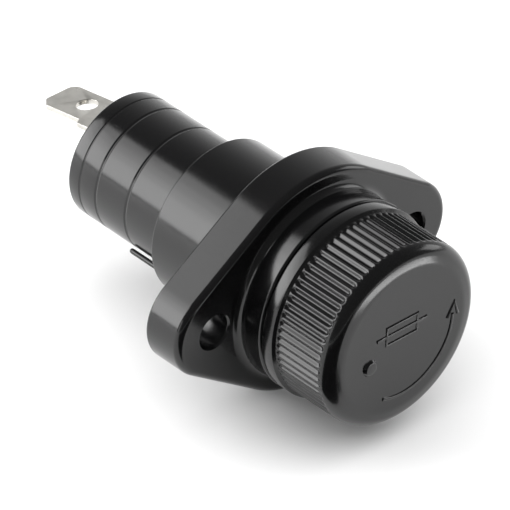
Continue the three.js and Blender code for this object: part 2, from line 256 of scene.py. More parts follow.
# %% Metals
def metal(name, bright, dull, shine, cloud, streak):
    material, graph, shader, point = finish(name, {"Metallic": 1.0})
    clouds = noise(graph, point, 420, 5.0)
    lines = noise(graph, point, 1500, 4.0, streak)
    pits = ((noise(graph, point, 5200, 1.0) - 0.66) * 6.0).clamped()
    tarnish = ((clouds - 0.42) * 2.6).clamped()
    colour = blend(graph, (tarnish * cloud + pits * 0.25).clamped(), bright, dull)
    graph.plug(colour, shader.inputs["Base Color"])
    rough = shine + tarnish * cloud * 0.18 + (lines - 0.5) * 0.16 + pits * 0.1
    graph.plug(rough, shader.inputs["Roughness"])
    raised(graph, shader, lines * 0.6 - pits * 0.5, 0.000006)
    return material


TIN = metal("tin_plate", (0.62, 0.605, 0.565), (0.42, 0.41, 0.38), 0.30, 0.6, (1, 0.12, 1))
NICKEL = metal("nickel_plate", (0.72, 0.70, 0.66), (0.50, 0.48, 0.44), 0.20, 0.4, (1, 1, 1))
BRASS = metal("brass", (0.80, 0.60, 0.27), (0.42, 0.27, 0.11), 0.24, 0.7, (1, 0.3, 1))
STEEL = metal("spring_steel", (0.58, 0.58, 0.59), (0.33, 0.32, 0.32), 0.26, 0.5, (1, 1, 0.3))
SILVER = metal("silver_strip", (0.90, 0.89, 0.86), (0.62, 0.60, 0.55), 0.22, 0.4, (1, 0.2, 1))
SOLDER = metal("solder", (0.55, 0.55, 0.56), (0.34, 0.34, 0.35), 0.38, 0.8, (1, 1, 1))
print("metals:", [m.name for m in (TIN, NICKEL, BRASS, STEEL, SILVER, SOLDER)])

# %% [markdown]
# Two more bodies are neither metal nor thermoset. The ring at the root of the cap's stem is rubber, matt with
# a bloom on it. The fuse's tube is glazed ceramic: white, glossy, with a few dark specks under the glaze.

# %% Rubber and ceramic
RUBBER, graph, shader, point = finish("rubber", {"IOR": 1.5})
bloom = noise(graph, point, 1300, 4.0)
colour = blend(graph, bloom, (0.010, 0.010, 0.010), (0.032, 0.032, 0.031))
graph.plug(colour, shader.inputs["Base Color"])
graph.plug(0.5 + bloom * 0.25, shader.inputs["Roughness"])
raised(graph, shader, bloom, 0.00003)

CERAMIC, graph, shader, point = finish("glazed_ceramic", {"IOR": 1.55})
body = noise(graph, point, 300, 3.0)
specks = ((noise(graph, point, 2400, 1.0) - 0.70) * 12.0).clamped()
white = blend(graph, body, (0.74, 0.72, 0.66), (0.84, 0.82, 0.77))
graph.plug(blend(graph, specks * 0.5, white, (0.30, 0.26, 0.20)), shader.inputs["Base Color"])
graph.plug(0.16 + body * 0.12 + specks * 0.2, shader.inputs["Roughness"])
raised(graph, shader, body, 0.00005)
print("others:", RUBBER.name, CERAMIC.name)

# %% [markdown]
# ## Profiles with rounded corners
# Nearly everything here is round, so most pieces start as a profile: a list of radius and position along the
# axis, in millimetres. A moulded or turned corner is never sharp, and it is the small roundings that catch
# the light. A third number on a corner asks for a rounding of that radius, drawn as a short arc.

# %% Rounded profiles
MM_PER_STEP = 0.14


def rounded(corners, closed=True):
    """Corners (radius, y) or (radius, y, rounding) in millimetres, as a list of points."""
    points = []
    for i, corner in enumerate(corners):
        here = Vector(corner[:2])
        if len(corner) < 3 or (not closed and i in (0, len(corners) - 1)):
            points.append(here)
            continue
        before = (Vector(corners[i - 1][:2]) - here).normalized()
        after = (Vector(corners[(i + 1) % len(corners)][:2]) - here).normalized()
        half = before.angle(after) / 2
        centre = here + (before + after).normalized() * corner[2] / math.sin(half)
        start = here + before * corner[2] / math.tan(half) - centre
        stop = here + after * corner[2] / math.tan(half) - centre
        first = math.atan2(start.y, start.x)
        sweep = (math.atan2(stop.y, stop.x) - first + math.pi) % (2 * math.pi) - math.pi
        steps = max(3, math.ceil(corner[2] / MM_PER_STEP))
        for k in range(steps + 1):
            a = first + sweep * k / steps
            points.append(centre + corner[2] * Vector((math.cos(a), math.sin(a))))
    return points


print("a rounded square corner has", len(rounded([(0, 0), (5, 0, 0.5), (5, 5), (0, 5)])) - 3, "points")

# %% [markdown]
# ## From profile to piece
# `spun` turns a profile about the axis, as a lathe or a round mould does. The mesh is made of plain quads,
# with a fan where the profile touches the axis, so that seams and poles are closed.

# %% Turning
def loop_quads(bm, rings, closed):
    """Joins each ring of vertices to the next; a ring of one vertex is a pole."""
    pairs = list(zip(rings, rings[1:])) + ([(rings[-1], rings[0])] if closed else [])
    for low, high in pairs:
        n = max(len(low), len(high))
        for i in range(n):
            j = (i + 1) % n
            if len(low) == 1 and len(high) > 1:
                bm.faces.new((low[0], high[i], high[j]))
            elif len(high) == 1 and len(low) > 1:
                bm.faces.new((low[i], high[0], low[j]))
            elif len(low) > 1:
                bm.faces.new((low[i], high[i], high[j], low[j]))


def made(name, bm):
    """Closes the work on a mesh: faces turned outwards, an object in the scene."""
    bmesh.ops.recalc_face_normals(bm, faces=bm.faces)
    mesh = bpy.data.meshes.new(name)
    bm.to_mesh(mesh)
    bm.free()
    piece = bpy.data.objects.new(name, mesh)
    bpy.context.scene.collection.objects.link(piece)
    return piece


def spun(name, corners, columns=128):
    """A closed profile turned about the Y axis."""
    closed = min(c[0] for c in corners) > 0
    bm = bmesh.new()
    rings = []
    for p in rounded(corners, closed):
        if p.x < 1e-6:
            rings.append([bm.verts.new((0, p.y * MM, 0))])
        else:
            turn = [2 * math.pi * i / columns for i in range(columns)]
            points = [(p.x * MM * math.cos(a), p.y * MM, p.x * MM * math.sin(a)) for a in turn]
            rings.append([bm.verts.new(point) for point in points])
    loop_quads(bm, rings, closed)
    return made(name, bm)


print("a piece is turned in 128 columns unless it asks for another number")

# %% [markdown]
# Modifiers do the cutting and the shading, and the finished piece is a plain mesh. `settle` replaces an
# object's mesh by the result of its modifiers. `combine` cuts or joins. `dressed` shades the large faces flat
# and the roundings smooth, by marking the sharp edges and weighting each corner's normal by the size of the
# faces round it, and then puts the piece on the body of the CAD node that it stands for and hides that node.

# %% Joining and dressing
SHARP_DEGREES = 35


def evaluated(piece):
    """A new mesh of what an object's curve or modifiers make."""
    bpy.context.view_layer.update()
    now = bpy.context.evaluated_depsgraph_get()
    return bpy.data.meshes.new_from_object(piece.evaluated_get(now))


def settle(piece):
    """Replaces the mesh by what the modifiers make of it."""
    result = evaluated(piece)
    piece.modifiers.clear()
    piece.data = result
    return piece


def combine(piece, tools, operation="DIFFERENCE"):
    """Cuts tools out of a piece, or joins them to it, and throws the tools away."""
    for tool in tools:
        step = piece.modifiers.new(operation, "BOOLEAN")
        step.operation, step.solver, step.object = operation, "EXACT", tool
    settle(piece)
    for tool in tools:
        bpy.data.objects.remove(tool)
    return piece


def dressed(piece, material, body, node):
    """Shading, finish, and the piece's place in the frame."""
    piece.data.materials.clear()
    piece.data.materials.append(material)
    piece.data.polygons.foreach_set("use_smooth", [True] * len(piece.data.polygons))
    piece.data.set_sharp_from_angle(angle=math.radians(SHARP_DEGREES))
    weigh = piece.modifiers.new("normals", "WEIGHTED_NORMAL")
    weigh.keep_sharp = True
    settle(piece)
    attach(piece, body)
    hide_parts(node)
    low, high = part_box(node)
    spans = [[v.co[i] for v in piece.data.vertices] for i in range(3)]
    mine, cad = in_mm([[max(span) - min(span) for span in spans], high - low])
    print(piece.name, len(piece.data.polygons), "faces, size", mine, "CAD", cad)
    return piece


print("an edge is sharp from", SHARP_DEGREES, "degrees on")

# %% [markdown]
# Many holes, slots and rivets point away from the axis. They are made at a plain place first and then turned
# about the axis by one matrix, so a single angle moves a terminal together with its slot, hole and rivet.

# %% Places about the axis
def around(angle):
    """A turn about the axis, from +X towards +Z, in degrees."""
    return Matrix.Rotation(math.radians(-angle), 4, "Y")


def block(size, centre, turn=0.0):
    """A plain cutter, in millimetres, turned about the axis."""
    bm = bmesh.new()
    bmesh.ops.create_cube(bm, size=MM)
    bm.transform(around(turn) @ Matrix.Translation(Vector(centre) * MM) @ Matrix.Diagonal((*size, 1)))
    return made("cutter", bm)


def outwards(y, turn):
    """Lays a turned shape down at y millimetres, so that it points away from the axis."""
    lay = Matrix.Rotation(-math.pi / 2, 4, "Z")
    return around(turn) @ Matrix.Translation((0, y * MM, 0)) @ lay


def pin(radius, start, stop, y, turn):
    """A round cutter that points away from the axis, from start to stop."""
    piece = spun("pin", [(0, start), (radius, start), (radius, stop), (0, stop)], 48)
    piece.data.transform(outwards(y, turn))
    return piece


print("a turn of 90 degrees takes +X to", [round(c) for c in around(90) @ Vector((1, 0, 0))])

# %% [markdown]
# ## The holder's moulding
# One moulding makes the rear barrel, the thicker main barrel, the flange and the collar, with the bores
# inside. We could join a turned barrel to a flange plate, but the small fillets where they meet would be hard
# to get. Instead the whole piece is one skin of rows and columns. Each column follows one direction from the
# axis out to the flange's outline, and each row is either a circle or a copy of that outline, moved inwards a
# little.

# %% The flange's outline
MID_R, END_R, END_X = 17.9, 7.5, 18.5
COLUMN_MM = 0.3
tangent_angle = math.acos((MID_R - END_R) / END_X)
tangent_length = math.sqrt(END_X ** 2 - (MID_R - END_R) ** 2)


def outline():
    """Points of the outline in order, each with the direction that it faces."""
    points = []

    def arc(centre, radius, start, stop):
        count = round(radius * (stop - start) / COLUMN_MM)
        for k in range(count):
            a = start + (stop - start) * k / count
            points.append((centre + radius * math.cos(a), radius * math.sin(a), a))

    def straight(first, second, a):
        count = round(tangent_length / COLUMN_MM)
        for k in range(count):
            x, z = first.lerp(second, k / count)
            points.append((x, z, a))

    def corner(centre, radius, a):
        return Vector((centre + radius * math.cos(a), radius * math.sin(a)))

    t = tangent_angle
    arc(END_X, END_R, -t, t)
    straight(corner(END_X, END_R, t), corner(0, MID_R, t), t)
    arc(0, MID_R, t, math.pi - t)
    straight(corner(0, MID_R, math.pi - t), corner(-END_X, END_R, math.pi - t), math.pi - t)
    arc(-END_X, END_R, math.pi - t, math.pi + t)
    straight(corner(-END_X, END_R, math.pi + t), corner(0, MID_R, math.pi + t), math.pi + t)
    arc(0, MID_R, math.pi + t, 2 * math.pi - t)
    straight(corner(0, MID_R, -t), corner(END_X, END_R, -t), -t)
    return points


columns = outline()
print("the outline has", len(columns), "columns")

# %% The holder's skin
FLANGE_T, STEP_Y, COLLAR_Y = 6.8, 13.9, -11.85
BARREL_R, BORE_R, REAR_BORE_R = 10.0, 10.2, 7.9
grooves = []
for y, wide, deep in ((31.8, 0.20, 0.08), (28.3, 0.30, 0.10), (22.0, 0.30, 0.10)):
    grooves += [
        (BARREL_R, y + wide, 0.05), (BARREL_R - deep, y + 0.04, 0.03),
        (BARREL_R - deep, y - 0.04, 0.03), (BARREL_R, y - wide, 0.05),
    ]
rear_half = [
    (1.9, 34.3), (9.98, 34.3, 0.45), *grooves,
    (10.04, STEP_Y, 0.2), (12.37, STEP_Y, 0.35), (12.42, 0.0, 0.6), (15.2, 0.0),
]
edge = [(0.8, 0.0), (0.0, 0.0, 0.5), (0.0, -FLANGE_T, 1.0), (1.3, -FLANGE_T)]
front_half = [
    (16.0, -FLANGE_T), (14.55, -FLANGE_T, 1.2), (15.12, COLLAR_Y, 0.4), (10.7, COLLAR_Y, 0.15),
    (BORE_R, -11.2, 0.1), (BORE_R, 12.0), (REAR_BORE_R, 12.0), (REAR_BORE_R, 31.9), (1.9, 31.9),
]


def circle_row(bm, r, y):
    """A row on a circle of radius r, with a point in the direction of every column."""
    row = []
    for x, z, _ in columns:
        length = math.hypot(x, z)
        row.append(bm.verts.new((r * MM * x / length, y * MM, r * MM * z / length)))
    return row


def outline_row(bm, inset, y):
    """A row on the flange's outline, moved inwards."""
    row = []
    for x, z, a in columns:
        x, z = x - inset * math.cos(a), z - inset * math.sin(a)
        row.append(bm.verts.new((x * MM, y * MM, z * MM)))
    return row


bm = bmesh.new()
rows = [circle_row(bm, *p) for p in rounded(rear_half, False)]
rows += [outline_row(bm, *p) for p in rounded(edge, False)]
rows += [circle_row(bm, *p) for p in rounded(front_half, False)]
loop_quads(bm, rows, True)
holder = made("holder_moulding", bm)
print("skin of", len(rows), "rows")

# %% [markdown]
# Thin flat plates come back several times: a finger on the holder, and the two terminals. A flat curve fills
# its own outline, holes included, and its bevel rounds the edges, as stamping and moulding do. `plate` draws
# one and gives its mesh back, ready to be bent or stood on the barrel.

# %% Paths and plates
def add_path(curve, points, cyclic=True):
    """Adds a path of straight pieces through points in millimetres."""
    line = curve.splines.new("POLY")
    line.points.add(len(points) - 1)
    for p, (x, y, z) in zip(line.points, points):
        p.co = (x * MM, y * MM, z * MM, 1)
    line.use_cyclic_u = cyclic


def curve_mesh(curve):
    """The skin that a curve makes, with its doubles merged."""
    drawn = bpy.data.objects.new(curve.name, curve)
    bpy.context.scene.collection.objects.link(drawn)
    bm = bmesh.new()
    bm.from_mesh(evaluated(drawn))
    bpy.data.objects.remove(drawn)
    bmesh.ops.remove_doubles(bm, verts=bm.verts, dist=1e-7)
    return bm


def plate(name, outlines, thickness, soft=0.09):
    """A flat plate in X and Y, in millimetres, with rounded edges; its top is at z = 0."""
    curve = bpy.data.curves.new(name, "CURVE")
    curve.dimensions, curve.fill_mode = "2D", "BOTH"
    curve.extrude, curve.bevel_resolution = (thickness / 2 - soft) * MM, 2
    curve.bevel_depth, curve.offset = soft * MM, -soft * MM
    for path in outlines:
        add_path(curve, [(x, y, 0) for x, y in path])
    bm = curve_mesh(curve)
    bm.transform(Matrix.Translation((0, 0, -thickness / 2 * MM)))
    return bm


def arc_points(radius, degrees, y=0.0):
    """Points on a circle about (0, y), one for each angle."""
    turns = [math.radians(a) for a in degrees]
    return [(radius * math.cos(a), y + radius * math.sin(a)) for a in turns]


def upright(radius, angle):
    """Stands a plate on a circle: its top faces outwards, its Y runs along the axis."""
    stand = Matrix(((0, 0, 1, 0), (0, 1, 0, 0), (-1, 0, 0, 0), (0, 0, 0, 1)))
    return around(angle) @ Matrix.Translation((radius * MM, 0, 0)) @ stand


print("a half circle in steps of 15 degrees has", len(arc_points(1.0, range(0, 181, 15))), "points")

# %% [markdown]
# The tool that cuts the two screw holes is turned like any other piece, with a small flare at each mouth so
# that the rim catches the light. The slot for the side terminal runs through the barrel's wall and opens
# through the step. The locating finger beside the rear barrel is a thin plate with round edges, joined on.

# %% Holes, slot and finger
SCREW_X, SCREW_R = 19.05, 2.6
PLATE_R, PLATE_T = 11.15, 0.8
FINGER_ANGLE, FINGER_HALF = 225, 1.1
SIDE_ANGLE, RIVET_Y = 315, -3
holes = []
for side in (-1, 1):
    tool = spun("cutter", [
        (0, -7.8), (2.9, -7.8), (2.9, -FLANGE_T - 0.001), (SCREW_R, -FLANGE_T + 0.3, 0.3),
        (SCREW_R, -0.25), (2.8, 0.001), (2.8, 1.5), (0, 1.5),
    ], 96)
    tool.data.transform(Matrix.Translation((side * SCREW_X * MM, 0, 0)))
    holes.append(tool)
round_end = arc_points(FINGER_HALF, range(0, 181, 15), 21.9)
bm = plate("finger", [[(-FINGER_HALF, 12.5), (FINGER_HALF, 12.5), *round_end]], PLATE_T, 0.37)
bm.transform(upright(PLATE_R, FINGER_ANGLE))
combine(holder, [made("finger", bm)], "UNION")
slot_in_wall = block((1.5, 17.3, 6.9), (10.65, 3.35, 0), SIDE_ANGLE)
slot_in_step = block((1.1, 4, 6.9), (10.85, 13.5, 0), SIDE_ANGLE)
rivet_hole = pin(2.2, 9.5, 12.6, RIVET_Y, SIDE_ANGLE)
combine(holder, holes + [slot_in_wall, slot_in_step, rivet_hole])
dressed(holder, HOLDER_BLACK, "holder", "holder_body")

# %% [markdown]
# ## The cap's moulding
# The cap is turned in shape except for its grip: a ring of shallow grooves, each cut as if by a small ball,
# so its ends are round. It starts as a spun body with enough columns for every rib.

# %% The cap's body
CAP_FRONT, CAP_REAR, CAP_R = -25.1, -12.0, 14.5
STEM_R, STEM_BORE_R, STEM_END = 8.4, 6.2, 3.0
RIBS, COLUMNS_PER_RIB = 72, 12
grip_rows = [-22.45, -22.3, -22.1, -21.7, -19, -16.5]
grip_rows += [-15.6, -15.2, -15.0, -14.85, -14.7, -14.6, -14.5]
cap = spun("cap_moulding", [
    (0, CAP_FRONT), (10.6, CAP_FRONT), (11.7, CAP_FRONT, 5.0), (CAP_R, -24.55, 2.1),
    *[(CAP_R, y) for y in grip_rows],
    (CAP_R, -14.4, 0.03), (15.0, -14.1, 0.12), (15.02, CAP_REAR, 0.35),
    (STEM_R, CAP_REAR, 0.2), (STEM_R, STEM_END, 0.3), (STEM_BORE_R, STEM_END, 0.3),
    (STEM_BORE_R, -21.6), (1.35, -21.6), (1.35, -23.5), (0, -23.5),
], RIBS * COLUMNS_PER_RIB)
print("cap body:", len(cap.data.polygons), "faces")

# %% [markdown]
# The grip repeats one groove 72 times, which is work for Geometry Nodes. For every point the tree finds the
# nearest groove's middle line, measures the distance to it, and pushes the point towards the axis along a
# soft wave. Past the groove's end the distance is measured to its last point, which rounds the end. Two
# helpers serve every such tree: one starts it with its named inputs, and one ends it, runs it on a piece and
# keeps the plain mesh.

# %% Trees with named inputs
def start_tree(name, sizes, takes_mesh=True):
    """A Geometry Nodes tree with an input for every size: its graph, and its inputs by name."""
    tree = bpy.data.node_groups.new(name, "GeometryNodeTree")
    if takes_mesh:
        tree.interface.new_socket("Geometry", in_out="INPUT", socket_type="NodeSocketGeometry")
    tree.interface.new_socket("Geometry", in_out="OUTPUT", socket_type="NodeSocketGeometry")
    for key, value in sizes.items():
        kind = "NodeSocketInt" if isinstance(value, int) else "NodeSocketFloat"
        tree.interface.new_socket(key, in_out="INPUT", socket_type=kind).default_value = value
    graph = Graph(tree)
    entry = tree.nodes.new("NodeGroupInput")
    return graph, {socket.name: Value(graph, socket) for socket in entry.outputs if socket.name}


def run_tree(graph, geometry, piece, material, sizes):
    """Ends a tree, runs it on a piece with these sizes, and keeps the result as the piece's mesh."""
    tree = graph.tree
    real = graph.add("GeometryNodeRealizeInstances", sockets={"Geometry": geometry})
    coated = graph.add("GeometryNodeSetMaterial", sockets={"Geometry": real, "Material": material})
    tree.links.new(coated.socket, tree.nodes.new("NodeGroupOutput").inputs[0])
    step = piece.modifiers.new(tree.name, "NODES")
    step.node_group = tree
    for socket in tree.interface.items_tree:
        if socket.name in sizes:
            step[socket.identifier] = sizes[socket.name]
    return settle(piece)


print("a tree starts with its named inputs and ends in Realize Instances and Set Material")

# %% Grooves in Geometry Nodes
def ribbed(piece, material, sizes):
    """Cuts round-ended grooves into a turned skin; sizes are in metres."""
    graph, size = start_tree("knurl", sizes)
    x, y, z = graph.split(graph.add("GeometryNodeInputPosition"))
    radius = (x * x + z * z).math("SQRT")
    pitch = 2 * math.pi / size["Ribs"]
    angle = z.math("ARCTAN2", x)
    across = angle.math("PINGPONG", pitch / 2) * radius
    middle = (size["Front end"] + size["Rear end"]) / 2
    half_length = (size["Rear end"] - size["Front end"]) / 2
    beyond = (y - middle).math("ABSOLUTE") - half_length + size["Groove radius"]
    beyond = beyond.math("MAXIMUM", 0.0)
    distance = (across * across + beyond * beyond).math("SQRT") / size["Groove radius"]
    cut = ((distance.math("MINIMUM", 1.0) * math.pi).math("COSINE") + 1) / 2 * size["Depth"]
    outside = radius.math("GREATER_THAN", size["Skin radius"])
    scale = 1 - cut * outside / radius
    moved = graph.add("ShaderNodeCombineXYZ", sockets={"X": x * scale, "Y": y, "Z": z * scale})
    shaped = graph.add("GeometryNodeSetPosition", sockets={
        "Geometry": size["Geometry"], "Position": moved,
    })
    return run_tree(graph, shaped, piece, material, sizes)


pitch_mm = 2 * math.pi * CAP_R / RIBS
ribbed(cap, CAP_BLACK, {
    "Ribs": float(RIBS), "Groove radius": 0.50 * pitch_mm * MM, "Depth": 0.40 * MM,
    "Front end": -23.35 * MM, "Rear end": -14.35 * MM, "Skin radius": 14.1 * MM,
})
print("a rib every", round(pitch_mm, 2), "mm")

# %% [markdown]
# ## The marks on the cap
# The face carries small raised marks: a curved arrow that says which way the cap turns, the sign for a fuse,
# and a pip that shows the cap's position. A line is a round bar sunk into the face, so its sides lean and its
# top is soft, as a ball cutter leaves it when it cuts the mould. Curves make such bars easily.

# %% Marks
def bars(paths, radius, y):
    """Round bars along flat paths of (x, z) points in millimetres, as one tool each."""
    tools = []
    for path, cyclic in paths:
        curve = bpy.data.curves.new("mark", "CURVE")
        curve.dimensions, curve.use_fill_caps = "3D", True
        curve.bevel_depth, curve.bevel_resolution = radius * MM, 4
        add_path(curve, [(x, y, z) for x, z in path], cyclic)
        tools.append(made("mark", curve_mesh(curve)))
    return tools


MARK_R, MARK_SINK, ARROW_R = 0.36, 0.17, 9.45
bow = arc_points(ARROW_R, range(-112, 2, 2))
head = [(10.5, -0.3), (9.7, 2.1), (8.4, -0.3)]
fuse_body = [(-3.45, 0.55), (2.45, 0.55), (2.45, 3.45), (-3.45, 3.45)]
fuse_wire = [(-5.3, 2.0), (4.3, 2.0)]
paths = [(bow, False), (head, False), (fuse_body, True), (fuse_wire, False)]
marks = bars(paths, MARK_R, CAP_FRONT + MARK_SINK)
pip = spun("mark", [(0, -0.45), (1.02, -0.45, 0.35), (1.3, 0.0), (1.3, 0.4), (0, 0.4)], 48)
pip.data.transform(Matrix.Translation((-6.5 * MM, CAP_FRONT * MM, -1.9 * MM)))
for mark in marks + [pip]:
    combine(cap, [mark], "UNION")
dressed(cap, CAP_BLACK, "cap_body", "cap")

# %% [markdown]
# ## Plated terminals
# A terminal is stamped from strip: its outline is cut in one stroke, which leaves the edges slightly rounded.
# `plate` gives us that. The rear one is then bent: we add cross cuts where the bend comes, and roll the
# points round a small radius. The side one stays flat, in its slot.

# %% The rear terminal
def circle(x, y, r, count=48):
    """Points on a full circle in a plane."""
    turns = [2 * math.pi * k / count for k in range(count)]
    return [(x + r * math.cos(a), y + r * math.sin(a)) for a in turns]


TILT, TAB_LENGTH = math.radians(10), 14.0
FOOT_Y, FOOT_TOP, FOOT_R = 34.6, 5.4, 3.9
BEND_OUT, BEND_CUTS = 1.15, 10
middle_r = BEND_OUT - PLATE_T / 2
bend = math.pi / 2 + TILT
foot_length = FOOT_TOP - BEND_OUT * math.tan(bend / 2)
tab_start = foot_length + bend * middle_r
reach = TAB_LENGTH - BEND_OUT * math.tan(bend / 2) + tab_start


def up(along):
    """A place on the flat blank, from its distance along the bent tab."""
    return reach - TAB_LENGTH + along


blank = arc_points(FOOT_R, range(180, 361, 9)) + [
    (3.8, up(1.0)), (3.8, up(12.9)), (3.55, up(13.35)), (2.9, up(13.9)), (2.3, up(TAB_LENGTH)),
    (-1.5, up(TAB_LENGTH)), (-1.9, up(13.85)), (-3.0, up(12.6)), (-3.1, up(12.2)),
    (-3.1, up(5.2)), (-3.3, up(5.05)), (-4.1, up(4.55)), (-4.1, up(0.6)),
]
bm = plate("rear_tab", [blank, circle(0, 0, 1.9), circle(0.7, up(7.7), 1.65)], PLATE_T)
for k in range(BEND_CUTS + 1):
    cut_y = (foot_length + (tab_start - foot_length) * k / BEND_CUTS) * MM
    everything = bm.verts[:] + bm.edges[:] + bm.faces[:]
    bmesh.ops.bisect_plane(bm, geom=everything, plane_co=(0, cut_y, 0), plane_no=(0, 1, 0), dist=1e-8)
for v in bm.verts:
    x, along, deep = v.co.x / MM, v.co.y / MM, -v.co.z / MM
    turned = min(max((along - foot_length) / middle_r, 0), bend)
    on = along - foot_length
    if along > foot_length:
        on = max(on - turned * middle_r, 0)
    r = BEND_OUT - deep
    y = FOOT_Y + BEND_OUT - r * math.cos(turned) + max(on, 0) * math.sin(turned)
    z = foot_length + r * math.sin(turned) + (on if on < 0 else on * math.cos(turned))
    v.co = (x * MM, y * MM, z * MM)
rear_tab = made("rear_tab", bm)
dressed(rear_tab, TIN, "holder", "rear_terminal")

# %% The side terminal
strip = [(-3.15, -5.0), (3.15, -5.0), (3.15, 19.4), (2.15, 20.6), (-2.15, 20.6), (-3.15, 19.4)]
bm = plate("side_tab", [strip, circle(0, RIVET_Y, 1.25), circle(0, 17, 1.3)], PLATE_T)
bm.transform(upright(PLATE_R, SIDE_ANGLE))
side_tab = made("side_tab", bm)
dressed(side_tab, TIN, "holder", "side_terminal")

# %% [markdown]
# ## Rivets and the washer
# Rivets hold the terminals. A formed head is a low dome with a slightly flattened top, so a profile with
# generous roundings is all it needs. The washer inside the rear wall carries the spring.

# %% Rivets and washer
rear_rivet = spun("rear_rivet_head", [
    (0, 29.9), (1.7, 29.9, 0.3), (2.6, 30.3, 0.2), (2.6, 30.9, 0.1), (1.55, 30.9), (1.55, 35.7),
    (3.0, 35.7, 0.15), (2.75, 36.35, 0.5), (1.6, 36.85, 0.5), (0, 36.9),
], 96)
dressed(rear_rivet, NICKEL, "holder", "rear_rivet")
side_rivet = spun("side_rivet_head", [
    (0, 9.45), (0.9, 9.45, 0.1), (0.9, 11.45), (1.7, 11.45, 0.1),
    (1.55, 11.85, 0.2), (0.8, 12.0, 0.3), (0, 12.0),
], 64)
side_rivet.data.transform(outwards(RIVET_Y, SIDE_ANGLE))
dressed(side_rivet, NICKEL, "holder", "side_rivet")
seat = spun("spring_washer", [
    (1.9, 31.2, 0.08), (6.2, 31.2, 0.08), (6.2, 31.6, 0.08), (1.9, 31.6, 0.08),
], 96)
dressed(seat, STEEL, "holder", "spring_seat")

# %% [markdown]
# ## The contact shell
# A brass sleeve lines the front bore. Two slots in it take the cap's pins: straight in from the front edge,
# then round by 60 degrees. A slot is cut with a plug shaped like a pill, wrapped round the axis.

# %% The shell and its slots
LUG_Y, SLOT_R, TURN = -6.0, 1.35, 60
WALL_R = 9.6


def pill_plug(start, stop):
    """A plug through the wall from one (degrees, y) point to another, with round ends."""
    a, b = (Vector((math.radians(t) * WALL_R, y)) for t, y in (start, stop))
    lean = math.atan2((b - a).y, (b - a).x)
    rim = []
    for centre, first in ((b, lean - math.pi / 2), (a, lean + math.pi / 2)):
        turns = [first + math.pi * k / 10 for k in range(11)]
        rim += [centre + SLOT_R * Vector((math.cos(t), math.sin(t))) for t in turns]
    bm = bmesh.new()
    rings = []
    for r in (7.5, 13.5):
        wrapped = []
        for p in rim:
            a = p.x / WALL_R
            wrapped.append(bm.verts.new((r * MM * math.cos(a), p.y * MM, r * MM * math.sin(a))))
        rings.append(wrapped)
    loop_quads(bm, rings, False)
    for ring in rings:
        bm.faces.new(ring)
    return made("cutter", bm)


shell = spun("contact_sleeve", [
    (9.35, -9.4, 0.12), (9.9, -9.4, 0.12), (9.9, 11.6, 0.1), (9.35, 11.6, 0.1),
], 192)
slots = []
for first in (0, 180):
    slots.append(pill_plug((first, -12), (first, LUG_Y)))
    slots.append(pill_plug((first - TURN, LUG_Y), (first, LUG_Y)))
combine(shell, slots + [pin(1.25, 8, 11, RIVET_Y, SIDE_ANGLE)])
dressed(shell, BRASS, "holder", "contact_shell")

# %% [markdown]
# ## The cap's sleeve, pins and ring
# The sleeve on the stem carries two short pins that run in the shell's slots. The rubber ring at the root of
# the stem seals the cap.

# %% Sleeve, pins, ring
sleeve = spun("stem_sleeve", [
    (8.7, -9.4, 0.08), (9.02, -9.4, 0.08), (9.02, 2.0, 0.08), (8.7, 2.0, 0.08),
], 192)
combine(sleeve, [pin(1.3, 7, 10, LUG_Y, 0), pin(1.3, 7, 10, LUG_Y, 180)])
dressed(sleeve, BRASS, "cap_body", "cap_sleeve")
for side, angle in (("right", 0), ("left", 180)):
    lug = spun("lug_" + side, [(0, 8.7), (1.0, 8.7, 0.08), (1.0, 9.72, 0.18), (0, 9.72)], 48)
    lug.data.transform(outwards(LUG_Y, angle))
    dressed(lug, STEEL, "cap_body", "bayonet_pin_" + side)
ring = spun("seal_ring", circle(9.25, -10.75, 0.52, 24), 128)
dressed(ring, RUBBER, "cap_body", "cap_ring")

# %% [markdown]
# ## The fuse clip
# The clip is a cup with eight springy fingers that bulge inwards to grip the fuse's end cap and flare at the
# mouth. The gaps between the fingers repeat, so Geometry Nodes make the cutting tool: a slot-shaped block is
# copied to eight points and each copy is turned by its own share of a full turn.

# %% Fingers
def copies_around(piece, material, count):
    """Copies a piece about the Y axis, evenly."""
    sizes = {"Count": count}
    graph, size = start_tree("ring_of_copies", sizes)
    points = graph.add("GeometryNodePoints", sockets={"Count": size["Count"]})
    turn = graph.add("GeometryNodeInputIndex") * (2 * math.pi) / size["Count"]
    copied = graph.add("GeometryNodeInstanceOnPoints", sockets={
        "Points": points, "Instance": size["Geometry"],
        "Rotation": graph.add("ShaderNodeCombineXYZ", sockets={"Y": turn}),
    })
    return run_tree(graph, copied, piece, material, sizes)


FINGERS = 8
clip = spun("fuse_grip", [
    (1.35, -21.3), (5.75, -21.3, 0.45), (5.9, -18.6, 0.8), (5.72, -13.4, 1.2), (5.98, -11.6, 0.12),
    (5.66, -11.6, 0.12), (5.32, -13.4, 1.2), (5.5, -18.6, 0.8), (5.35, -20.8, 0.3), (1.35, -20.8),
], 192)
gaps = copies_around(block((3, 8, 0.9), (6, -15.0, 0)), NICKEL, FINGERS)
combine(clip, [gaps])
dressed(clip, NICKEL, "fuse_carrier", "fuse_clip")
clip_rivet = spun("grip_rivet", [
    (0, -23.2), (1.0, -23.2, 0.1), (1.0, -20.5), (2.3, -20.5, 0.1),
    (2.1, -20.1, 0.2), (1.2, -19.92, 0.2), (0, -19.9),
], 64)
dressed(clip_rivet, NICKEL, "fuse_carrier", "clip_rivet")

# %% [markdown]
# ## The cartridge fuse
# A ceramic tube with a plated cap at each end. The caps are drawn cups, pressed on and held by a rolled
# groove near the open edge. The strip and the solder inside stay as the CAD has them, with better finishes.

